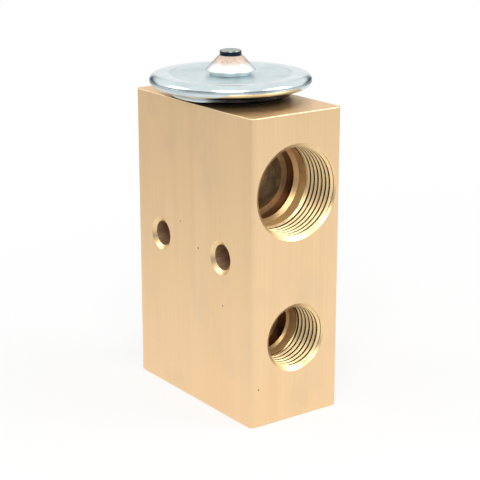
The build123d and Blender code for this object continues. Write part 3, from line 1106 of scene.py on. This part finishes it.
@dataclass
class ValveBlock:
    """The block: a length of drawn bar with four threaded ports, bolt holes and stem bores."""

    finishes: Finishes
    width: float = 26.0
    depth: float = 48.4
    height: float = 74.0
    corner: float = 1.4
    edge: float = 0.2
    suction_z: float = 55.5
    liquid_z: float = 20.25
    outlet_z: float = 25.4
    outlet_bore_z: float = 29.6
    hole_ys: tuple[float, float] = (-11.9, 13.5)
    hole_z: float = 39.1

    def ports(self) -> list[Port]:
        """Returns the four ports."""
        front, rear = -self.depth / 2, self.depth / 2
        suction = (self.suction_z, 11.1125, 9.5, 12.4, 9.3, 16.0, 7.7, 26.0)
        return [
            Port("suction_front", front, *suction),
            Port("suction_rear", rear, *suction),
            Port("liquid_inlet", front, self.liquid_z, 7.9375, 8.6, 11.5, 6.45, 15.2, 4.6, 21.4),
            Port("evaporator_outlet", rear, self.outlet_z, 9.525, 9.0, 12.0, 7.9, 15.6, 0.0, 15.6),
        ]

    def bar(self) -> Object:
        """Builds the length of bar with rounded corners and deburred ends."""
        mesh = bmesh.new()
        turns = [math.radians(a) for a in (0, 22.5, 45, 67.5, 90)]
        breaks = [(self.edge * (1 - math.sin(t)), self.edge * (1 - math.cos(t))) for t in turns]
        levels = breaks + [(inset, self.height - rise) for inset, rise in reversed(breaks)]
        rings = []
        for inset, z in levels:
            ring = []
            for sx, sy, first in ((1, 1, 0), (-1, 1, 90), (-1, -1, 180), (1, -1, 270)):
                centre = (sx * (self.width / 2 - self.corner), sy * (self.depth / 2 - self.corner))
                for x, y in arc(centre, self.corner - inset, first, first + 90, 8):
                    ring.append(mesh.verts.new(Vector((x, y, z)) * MM))
            rings.append(ring)
        # The edge breaks take a lighter finish than the sides: a painted highlight.
        side, end, edge = range(3)
        for level, (low, high) in enumerate(zip(rings, rings[1:])):
            slot = side if level == len(breaks) - 1 else edge
            for face in skin(mesh, low, high):
                face.material_index = slot
        for ring in (rings[0], rings[-1]):
            mesh.faces.new(ring).material_index = end
        bar = as_object("valve_block_dressed", mesh)
        coat(bar, self.finishes.drawn, self.finishes.milled, self.finishes.edge_highlight)
        return bar

    def stem_cutters(self) -> list[Object]:
        """Builds the closed pieces that cut the bores on the stem line, from both ends."""
        lathe = stem_line(128)
        bores = StemBores(self.height, self.suction_z)
        cutters = [
            as_object("upper_bores", lathe.turn(bores.upper())),
            as_object("lower_bores", lathe.turn(bores.lower())),
            OutletBore().cutter(self.depth / 2, self.outlet_bore_z),
        ]
        for cutter in cutters:
            coat(cutter, self.finishes.stem_bore)
        return cutters

    def build(self) -> None:
        """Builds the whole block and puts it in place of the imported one."""
        block = self.bar()
        cutters = [c for port in self.ports() for c in port.cutters(self.finishes)]
        cutters += [
            CrossHole(f"bolt_hole_{i}", y, self.hole_z).cutter(self.finishes)
            for i, y in enumerate(self.hole_ys)
        ]
        cut(block, cutters + self.stem_cutters())
        block.data.set_sharp_from_angle(angle=math.radians(CUT_SMOOTH_DEG))
        weighted = block.modifiers.new("true_faces", "WEIGHTED_NORMAL")
        weighted.keep_sharp = True
        weighted.weight = 100
        settle(block)
        dress(block, self.finishes.drawn, "drawn_brass", Body.BLOCK, "valve_block")
        log.info("valve block: %d faces", len(block.data.polygons))


# ---- The power element ---------------------------------------------------------------------


@dataclass
class PowerElement:
    """The welded head: cup and cover round the diaphragm, neck, boss and charge plug."""

    finishes: Finishes
    block_top: float = 74.0
    gasket: float = 0.6
    sheet: float = 0.9
    flange_r: float = 19.4
    flange_face: float = 78.0
    seam_face: float = 78.15
    dish_top: float = 79.1
    crown_top: float = 79.45
    boss_top: float = 83.75
    cup_hole_r: float = 9.22
    cup_fold_r: float = 0.6
    cup_r: float = 14.7
    cup_inner_r: float = 13.8
    curl_r: float = 17.6
    shoulder: Corner = (15.5, 76.4)
    cup_well: float = 76.2
    cup_seat_r: float = 15.6
    boss_hole_r: float = 1.2
    dish: Band = (13.6, 15.4)
    cover_seat_r: float = 16.4
    cover_well: Corner = (15.8, 78.65)
    plug_r: float = 2.6
    plug_edge: float = 0.35
    neck_r: float = 10.0
    neck_hole_r: float = 7.4
    neck_length: float = 7.4
    neck_lead_in: float = 0.8

    def cup(self) -> list[Corner]:
        """Returns the lower cover's outline."""
        low, face, rim = self.block_top + self.gasket, self.flange_face, self.flange_r
        fold, curl = self.cup_fold_r, (self.curl_r, self.shoulder[1])
        outline = [(self.cup_hole_r, low)] + arc((self.cup_r - fold, low + fold), fold, -90, 0)
        outline += [(self.cup_r, low + 1.0), self.shoulder, curl]
        outline += rolled_rim(curl, (rim, face - 0.3))
        outline += [(rim, face - 0.06), (rim - 0.06, face), (self.cup_seat_r, face)]
        outline += [(self.cup_inner_r, self.cup_well), (self.cup_inner_r, low + self.sheet)]
        return outline + [(self.cup_hole_r, low + self.sheet)]

    def cover(self) -> list[Corner]:
        """Returns the upper cover's outline."""
        seam, rim, (inner, outer) = self.seam_face, self.flange_r, self.dish
        under, curl = seam + 0.15, (self.curl_r, self.crown_top)
        outline = [(self.boss_hole_r, self.dish_top)]
        outline += soft_step((inner, self.dish_top), (outer, self.crown_top)) + [curl]
        outline += rolled_rim(curl, (rim, seam + 0.2))
        outline += [(rim, seam + 0.05), (rim - 0.05, seam), (self.cover_seat_r, seam), self.cover_well]
        outline += soft_step((outer, self.cover_well[1]), (inner, under))
        return outline + [(self.boss_hole_r, under)]

    def boss(self) -> list[Corner]:
        """Returns the boss's outline: an undercut foot and a cone."""
        hole, low, high = self.boss_hole_r, self.dish_top, self.boss_top
        return [(hole, low), (4.7, low), (6.0, 80.3), (6.0, 80.42), (2.8, high), (hole, high)]

    def plug(self) -> list[Corner]:
        """Returns the charge plug's outline, with a rounded top edge and a shallow dimple."""
        foot, top, shank, edge = self.boss_top, self.boss_top + 1.25, 1.18, self.plug_edge
        outline = [(0.0, foot - 2.0), (shank, foot - 2.0), (shank, foot), (self.plug_r, foot)]
        outline += arc((self.plug_r - edge, top - edge), edge, 0, 90)
        return outline + [(1.9, top), (1.2, top - 0.07), (0.0, top - 0.15)]

    def neck(self) -> list[Corner]:
        """Returns the neck's outline, from its chamfered foot to its spigot."""
        floor = self.block_top + self.gasket
        foot, hole = floor - self.neck_length, self.neck_hole_r
        spigot = self.neck_r - self.neck_lead_in
        outline = [(hole, foot), (spigot, foot), (self.neck_r, foot + self.neck_lead_in)]
        return outline + stairs(self.neck_r, floor, spigot, floor + self.sheet, hole)

    def build(self) -> None:
        """Builds every piece of the head and dresses it."""
        steel = "polished_steel"
        pieces = (
            ("lower_cover", self.cup(), self.finishes.cover, steel, 0.04, 320),
            ("upper_cover", self.cover(), self.finishes.cover, steel, 0.0, 320),
            ("charge_boss", self.boss(), self.finishes.boss, steel, 0.08, 160),
            ("charge_plug", self.plug(), self.finishes.plug, "plug_steel", 0.04, 96),
            ("element_neck", self.neck(), self.finishes.neck, "turned_steel", 0.05, 128),
        )
        for node, outline, material, slot, ease, steps in pieces:
            turn_piece(node, stem_line(steps), outline, ease, material, slot, Body.BLOCK)
        dress_node("head_gasket", self.finishes.rubber)
        dress_node("diaphragm", self.finishes.ground)


# ---- The stem, the ball and the spring --------------------------------------------------------


@dataclass
class Stem:
    """The follower, sensing sleeve and rod that push the ball off its seat, with the rod's seal.

    The outlines are radii and heights in turn.
    """

    finishes: Finishes
    follower: tuple[float, ...] = (0.0, 75.55, 3.42, 72.55, 4.6, 76.35, 12.6, 77.85, 4.8, 78.0, 0.0)
    sleeve: tuple[float, ...] = (1.22, 50.0, 3.4, 75.55, 0.0, 70.2, 1.22)
    rod: tuple[float, ...] = (0.0, 25.33, 1.2, 70.18, 0.0)
    edge: float = 0.08

    def build(self) -> None:
        """Builds the turned pieces and dresses them and the seal."""
        lathe = stem_line(112)
        pieces = (
            ("follower_plate", self.follower, self.finishes.neck, "turned_steel"),
            ("sensing_sleeve", self.sleeve, self.finishes.aluminium, "sleeve_aluminium"),
            ("push_rod", self.rod, self.finishes.ground, "turned_steel"),
        )
        for node, outline, material, slot in pieces:
            turn_piece(node, lathe, stairs(*outline), self.edge, material, slot, Body.STEM)
        dress_node("rod_seal", self.finishes.rubber)
        dress_node("seal_retainer", self.finishes.turned_brass)


@dataclass
class BallAndSpring:
    """The ball on its carrier, the damper round it, the spring and the spring's seat.

    The outlines of carrier and seat are radii and heights in turn; the carrier's stops at its cone.
    """

    finishes: Finishes
    stem_y: float = STEM_Y
    ball_r: float = 2.75
    ball_z: float = 22.561
    wire_r: float = 0.55
    coil_r: float = 4.0
    pitch: float = 1.6
    spring_low: float = 10.45
    spring_high: float = 18.15
    coil_steps: int = 72
    wire_steps: int = 20
    carrier: tuple[float, ...] = (0.0, 15.9, 3.1, 18.2, 4.7, 19.4, 3.9, 21.4)
    seat: tuple[float, ...] = (0.0, 9.2, 4.9, 10.4, 3.1, 12.4, 0.0)

    def coil(self, name: str, low: float, high: float) -> Object:
        """Builds one stretch of the spring's wire with closed ends.

        Args:
            name: The piece's name.
            low: Height of the wire's centre where the stretch starts.
            high: Height of the wire's centre where it ends.

        Returns:
            The new object.
        """
        first = self.spring_low + self.wire_r
        steps = max(8, round((high - low) / self.pitch * self.coil_steps))
        mesh = bmesh.new()
        rings = []
        slope = self.pitch / (2 * math.pi * self.coil_r)
        for i in range(steps + 1):
            z = low + (high - low) * i / steps
            turn = 2 * math.pi * (z - first) / self.pitch
            out = Vector((math.cos(turn), math.sin(turn), 0))
            ahead = Vector((-math.sin(turn), math.cos(turn), slope)).normalized()
            up = ahead.cross(out) * -1
            centre = out * self.coil_r + Vector((0, self.stem_y, z))
            ring = []
            for k in range(self.wire_steps):
                a = 2 * math.pi * k / self.wire_steps
                place = centre + (out * math.cos(a) + up * math.sin(a)) * self.wire_r
                ring.append(mesh.verts.new(place * MM))
            rings.append(ring)
        for ring, after in zip(rings, rings[1:]):
            skin(mesh, ring, after)
        mesh.faces.new(rings[0])
        mesh.faces.new(rings[-1])
        return as_object(name, mesh)

    def spring(self) -> None:
        """Builds the spring in two stretches of wire, in place of the CAD spring."""
        low, high = self.spring_low + self.wire_r, self.spring_high - self.wire_r
        middle = (low + high) / 2
        steel, slot = self.finishes.spring_steel, "spring_steel"
        stretches = (
            ("main_spring_lower", low, middle, Body.SPRING_SEAT, Body.BLOCK),
            ("main_spring_upper", middle, high, Body.BLOCK, Body.STEM),
        )
        for name, start, end, first, second in stretches:
            piece = self.coil(name, start, end)
            coat(piece, steel)
            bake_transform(piece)
            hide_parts("main_spring")
            log.info("%s: %d faces", name, len(piece.data.polygons))

    def ball(self) -> None:
        """Builds the ball as a ground sphere."""
        mesh = bmesh.new()
        centre = Matrix.Translation(Vector((0, self.stem_y, self.ball_z)) * MM)
        bmesh.ops.create_icosphere(mesh, subdivisions=5, radius=self.ball_r * MM, matrix=centre)
        ball = as_object("valve_ball_dressed", mesh)
        dress(ball, self.finishes.ground, "ball_steel", Body.STEM, "valve_ball")

    def build(self) -> None:
        """Builds the pieces in the ball chamber and dresses them."""
        lathe = stem_line(112)
        self.ball()
        tip = self.ball_z - self.ball_r * math.sqrt(2) - 0.02
        carrier = stairs(*self.carrier, self.carrier[-1] - tip) + [(0.0, tip)]
        pieces = (
            ("ball_carrier", carrier, 0.08, Body.STEM),
            ("spring_seat", stairs(*self.seat), 0.1, Body.SPRING_SEAT),
        )
        for node, outline, ease, body in pieces:
            turn_piece(node, lathe, outline, ease, self.finishes.turned_brass, "turned_brass", body)
        dress_node("damper_ring", self.finishes.spring_steel)
        self.spring()
        log.info("ball, carrier and spring seat: done")


# ---- The adjusting screw ---------------------------------------------------------------------


@dataclass
class Adjuster:
    """The adjusting screw in the bottom of the block, with its thread, hexagon socket and seal."""

    finishes: Finishes
    head_low: float = 1.2
    head_high: float = 4.2
    top: float = 9.2
    head_r: float = 6.45
    thread_r: float = 5.95
    thread_pitch: float = 1.0
    thread_depth: float = 0.6
    core_r: float = 5.2
    edge: float = 0.3
    groove: Band = (1.9, 3.5)
    groove_r: float = 4.95
    hex_flats: float = 5.0
    hex_depth: float = 5.0
    hex_lead_in: float = 0.9

    def build(self) -> None:
        """Builds the screw and its seal's finish."""
        lathe = stem_line(128)
        low, high, rim, core = self.head_low, self.head_high, self.head_r, self.core_r
        groove_low, groove_high = self.groove
        outline = [(0.0, low), (rim - self.edge, low), (rim, low + self.edge)]
        outline += stairs(rim, groove_low, self.groove_r, groove_high, rim, high, core, self.top, 0.0)
        screw = lathe.piece("adjusting_screw_dressed", outline, 0.08)
        coat(screw, self.finishes.turned_brass)
        form = ThreadForm(self.thread_pitch, self.thread_r, self.thread_r - self.thread_depth)
        bar = form.solid(lathe, high - 0.4, self.top - 0.02, core + 0.1, core + 0.05)
        ridge = as_object("screw_thread", bar)
        coat(ridge, self.finishes.turned_brass)
        boolean(screw, ridge, "UNION")
        cut(screw, [self.socket()])
        screw.data.set_sharp_from_angle(angle=math.radians(CUT_SMOOTH_DEG))
        dress(screw, self.finishes.turned_brass, "turned_brass", Body.ADJUSTER, "adjusting_screw")
        dress_node("adjuster_seal", self.finishes.rubber)
        log.info("adjusting screw: %d faces", len(screw.data.polygons))

    def socket(self) -> Object:
        """Builds the closed piece that cuts the hexagon socket, with its lead-in."""
        reach = self.hex_flats / 2 / math.cos(math.radians(30))
        edge, low = self.head_low + self.edge, self.head_low - (self.hex_lead_in - self.edge)
        mesh = bmesh.new()
        bottom = self.head_low + self.hex_depth
        levels = ((reach + self.hex_lead_in, low), (reach, edge), (reach, bottom))
        turns = [math.radians(60 * i) for i in range(6)]
        rings = []
        for radius, z in levels:
            corners = [(radius * math.cos(t), STEM_Y + radius * math.sin(t), z) for t in turns]
            rings.append([mesh.verts.new(Vector(corner) * MM) for corner in corners])
        for lower, upper in zip(rings, rings[1:]):
            skin(mesh, lower, upper)
        mesh.faces.new(rings[0])
        mesh.faces.new(rings[-1])
        cutter = as_object("hexagon", mesh)
        coat(cutter, self.finishes.turned_brass)
        return cutter


# ---- The studio --------------------------------------------------------------------------------


def direction(azimuth_deg: float, rise_deg: float) -> Vector:
    """Returns the way to a point seen from the valve, turned from the port face and above level."""
    azimuth, rise = math.radians(azimuth_deg), math.radians(rise_deg)
    level = math.cos(rise)
    return Vector((math.sin(azimuth) * level, -math.cos(azimuth) * level, math.sin(rise)))


def show(data: bpy.types.ID) -> Object:
    """Links an object that holds a lamp's or a camera's data, under the same name."""
    made_object = bpy.data.objects.new(data.name, data)
    bpy.context.scene.collection.objects.link(made_object)
    return made_object


@dataclass(frozen=True)
class Lamp:
    """A soft rectangular lamp that faces the valve, in metres and watts.

    Its turn is counted from the camera's direction and is positive to the right.
    """

    name: str
    turn_deg: float
    rise_deg: float
    size: tuple[float, float]
    power: float
    reach: float = 0.9

    def hang(self, azimuth_deg: float, target: Vector) -> None:
        """Hangs the lamp, with the camera's azimuth and the point that it faces."""
        toward = direction(azimuth_deg + self.turn_deg, self.rise_deg)
        data = bpy.data.lights.new(self.name, "AREA")
        data.shape = "RECTANGLE"
        data.size, data.size_y = self.size
        data.energy = self.power
        lamp = show(data)
        lamp.location = target + toward * self.reach
        lamp.rotation_euler = toward.to_track_quat("Z", "Y").to_euler()


@dataclass
class Studio:
    """White floor, soft light and the camera.

    Bands are pairs of values between which something fades in. Those of the room and of the two
    side bands are in the world's directions: height, and how far a ray goes towards the camera.
    """

    height: float = 0.074
    azimuth_deg: float = -35.8028
    elevation_deg: float = 16.518
    distance: float = 4.7032
    shift_x: float = -0.0143
    shift_z: float = -0.0176
    focal_px: float = 1416.607
    image_px: float = 480.0
    sensor: float = 36.0
    floor_reach: float = 6.0
    floor_sides: int = 64
    floor_white: Point = (0.68, 0.68, 0.68)
    floor_glow: Band = (0.7, 1.0)
    glow_band: Band = (0.1, 0.3)
    pool: Point = (0.05, -0.1, 0.0)
    pool_reach: Band = (0.08, 0.5)
    pool_edge: float = 0.58
    surround: float = 0.85
    dim_tone: Point = (0.07, 0.11, 0.17)
    room_height: Band = (0.42, 0.2)
    room_way: Band = (0.0, 0.6)
    side_height: Band = (0.4, 0.18)
    side_ways: tuple[Band, Band] = ((-0.985, -0.93), (-0.45, -0.7))
    lamps: tuple[Lamp, ...] = (
        Lamp("key_lamp", 0.0, 44.0, (0.56, 0.5), 4.5),
        Lamp("left_lamp", -92.0, 36.0, (0.42, 0.4), 1.3),
        Lamp("right_lamp", 82.0, 38.0, (0.46, 0.42), 2.8),
    )

    def camera(self) -> None:
        """Places the camera."""
        azimuth, h = math.radians(self.azimuth_deg), self.height
        back = direction(self.azimuth_deg, self.elevation_deg)
        right = Vector((math.cos(azimuth), math.sin(azimuth), 0))
        up = back.cross(right)
        data = bpy.data.cameras.new("camera")
        data.sensor_width = self.sensor
        data.lens = self.focal_px * self.sensor / self.image_px
        camera = show(data)
        camera.matrix_world = Matrix((right, up, back)).transposed().to_4x4()
        centred = Vector((0, 0, h / 2)) + back * self.distance * h
        camera.location = centred - right * self.shift_x * h - up * self.shift_z * h
        bpy.context.scene.camera = camera

    def floor(self) -> None:
        """Lays a white floor that keeps the valve's soft shadow."""
        mesh = bmesh.new()
        turns = [2 * math.pi * i / self.floor_sides for i in range(self.floor_sides)]
        rim = [(self.floor_reach * math.cos(a), self.floor_reach * math.sin(a), 0) for a in turns]
        mesh.faces.new([mesh.verts.new(corner) for corner in rim])
        floor = as_object("studio_floor", mesh)
        sheet = Sheet("white_floor")
        path = sheet.add("ShaderNodeLightPath")
        matt = sheet.add("ShaderNodeBsdfDiffuse", {"Color": (*self.floor_white, 1.0)})
        away = sheet.distance(sheet.add("ShaderNodeTexCoord").outputs["Object"], self.pool)
        fade = sheet.span(away, *self.pool_reach, 0.0, 1.0 - self.pool_edge)
        dim = sheet.sum("MULTIPLY", fade, path.outputs["Is Glossy Ray"])
        strength = sheet.sum("SUBTRACT", 1.0, dim)
        glow = sheet.add("ShaderNodeEmission", {"Color": WHITE, "Strength": strength})
        far = sheet.span(away, *self.glow_band, *self.floor_glow)
        share = sheet.sum("MULTIPLY", sheet.seen(path), far)
        both = {"Fac": share, 1: matt.outputs["BSDF"], 2: glow.outputs["Emission"]}
        blend = sheet.add("ShaderNodeMixShader", both)
        sheet.feed(sheet.tree.nodes["Material Output"].inputs["Surface"], blend.outputs["Shader"])
        sheet.tree.nodes.remove(sheet.shader)
        coat(floor, sheet.material)

    def world(self) -> None:
        """Surrounds the scene with white, and a dim room behind the camera for metal to show."""
        world = bpy.data.worlds.new("studio")
        world.use_nodes = True
        bpy.context.scene.world = world
        nodes = Nodes(world.node_tree)
        plain = nodes.tree.nodes["Background"]
        nodes.feed(plain.inputs["Color"], WHITE)
        nodes.feed(plain.inputs["Strength"], self.surround)
        where = nodes.add("ShaderNodeTexCoord").outputs["Generated"]
        back = direction(self.azimuth_deg, self.elevation_deg)
        level_back = Vector((back.x, back.y, 0)).normalized()
        ends = {0: where, 1: level_back}
        near = nodes.add("ShaderNodeVectorMath", ends, operation="DOT_PRODUCT").outputs["Value"]
        level = nodes.level(where)
        behind = nodes.span(near, *self.room_way)
        room = nodes.sum("MULTIPLY", nodes.span(level, *self.room_height), behind)
        outer, inner = (nodes.span(near, *band) for band in self.side_ways)
        sides = nodes.sum("MULTIPLY", outer, inner)
        line = nodes.sum("MULTIPLY", nodes.span(level, *self.side_height), sides)
        path = nodes.add("ShaderNodeLightPath")
        dim = nodes.sum("MAXIMUM", room, line)
        shown = nodes.sum("MULTIPLY", dim, path.outputs["Is Glossy Ray"])
        tone = nodes.mix(shown, WHITE, (*self.dim_tone, 1.0))
        white = nodes.add("ShaderNodeBackground", {"Color": tone, "Strength": 1.0})
        both = {"Fac": nodes.seen(path), 1: plain.outputs["Background"], 2: white.outputs["Background"]}
        blend = nodes.add("ShaderNodeMixShader", both)
        nodes.feed(nodes.tree.nodes["World Output"].inputs["Surface"], blend.outputs["Shader"])

    def build(self) -> None:
        """Builds the camera, the floor and the light."""
        bpy.context.scene.view_settings.view_transform = "Standard"
        self.camera()
        self.floor()
        self.world()
        for lamp in self.lamps:
            lamp.hang(self.azimuth_deg, Vector((0, 0, self.height / 2)))
        log.info("studio: camera, floor and lamps are up")


def main() -> None:
    """Builds the studio and every sub-assembly, in order."""
    logging.basicConfig(level=logging.INFO, format="%(name)s: %(message)s")
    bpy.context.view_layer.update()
    Studio().build()
    finishes = Finishes()
    builders: list[Callable[[], None]] = [
        ValveBlock(finishes).build,
        PowerElement(finishes).build,
        Stem(finishes).build,
        BallAndSpring(finishes).build,
        Adjuster(finishes).build,
    ]
    for build in builders:
        build()


if __name__ == "__main__":
    main()
